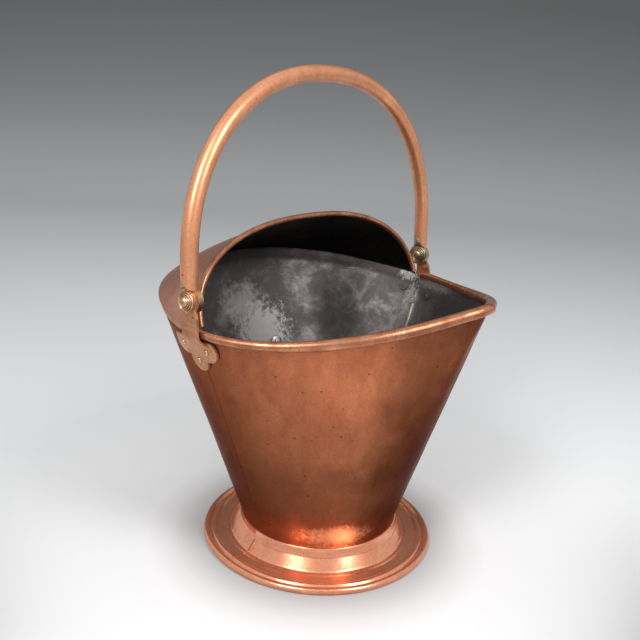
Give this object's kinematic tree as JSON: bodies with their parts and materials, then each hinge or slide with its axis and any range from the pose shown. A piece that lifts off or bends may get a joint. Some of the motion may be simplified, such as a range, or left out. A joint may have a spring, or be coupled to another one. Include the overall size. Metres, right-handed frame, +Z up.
{
  "type": "coal scuttle",
  "caption": "Helmet-shaped copper coal scuttle on a moulded round foot, with a hood over the back of its mouth and a tubular bail handle that swings on two riveted ears.",
  "frame": {"origin": "centre of the foot on the floor", "axes": "+Z up; the spout points along -Y and the hood is toward +Y; the bail swings about a line within 1.1 degrees of X, with the left ear at -X"},
  "size_m": [0.3874, 0.3531, 0.4884],
  "materials": {
    "copper_body": "worn polished copper",
    "copper_hood": "dulled copper",
    "copper_foot": "polished copper",
    "copper_handle": "polished copper",
    "copper_bracket": "tarnished copper",
    "aged_bronze": "tarnished bronze",
    "tinned_sheet": "dull tinned and sooted",
    "tin_solder": "dull solder",
    "iron_wire": "plain drawn iron"
  },
  "bodies": {
    "scuttle": {"front_panel": "copper_body", "back_panel": "copper_body", "hood": "copper_hood", "front_rim_wire": "iron_wire", "hood_edge_wire": "iron_wire", "left_seam_solder": "tin_solder", "right_seam_solder": "tin_solder", "foot_skirt": "copper_foot", "foot_edge_wire": "iron_wire", "foot_lap_joint": "copper_foot", "neck_band": "copper_foot", "floor_pan": "tinned_sheet", "left_bracket": "copper_bracket", "right_bracket": "copper_bracket", "left_pivot_pin": "aged_bronze", "right_pivot_pin": "aged_bronze", "left_inner_boss": "aged_bronze", "right_inner_boss": "aged_bronze", "left_bracket_rivets": "copper_bracket", "right_bracket_rivets": "copper_bracket", "left_rivet_roves": "tinned_sheet", "right_rivet_roves": "tinned_sheet", "rear_grip": "copper_handle", "rear_grip_flanges": "aged_bronze", "rear_grip_rivets": "aged_bronze", "rear_grip_roves": "tinned_sheet"},
    "bail": {"bail_tube": "copper_handle", "left_bail_eye": "aged_bronze", "right_bail_eye": "aged_bronze"}
  },
  "joints": [
    {"name": "bail_hinge", "type": "hinge", "parent": "scuttle", "child": "bail", "pos_m": [0, 0.009, 0.2882], "axis": [0.9998, 0.0052, -0.0168], "range_deg": [-100, 84]}
  ]
}
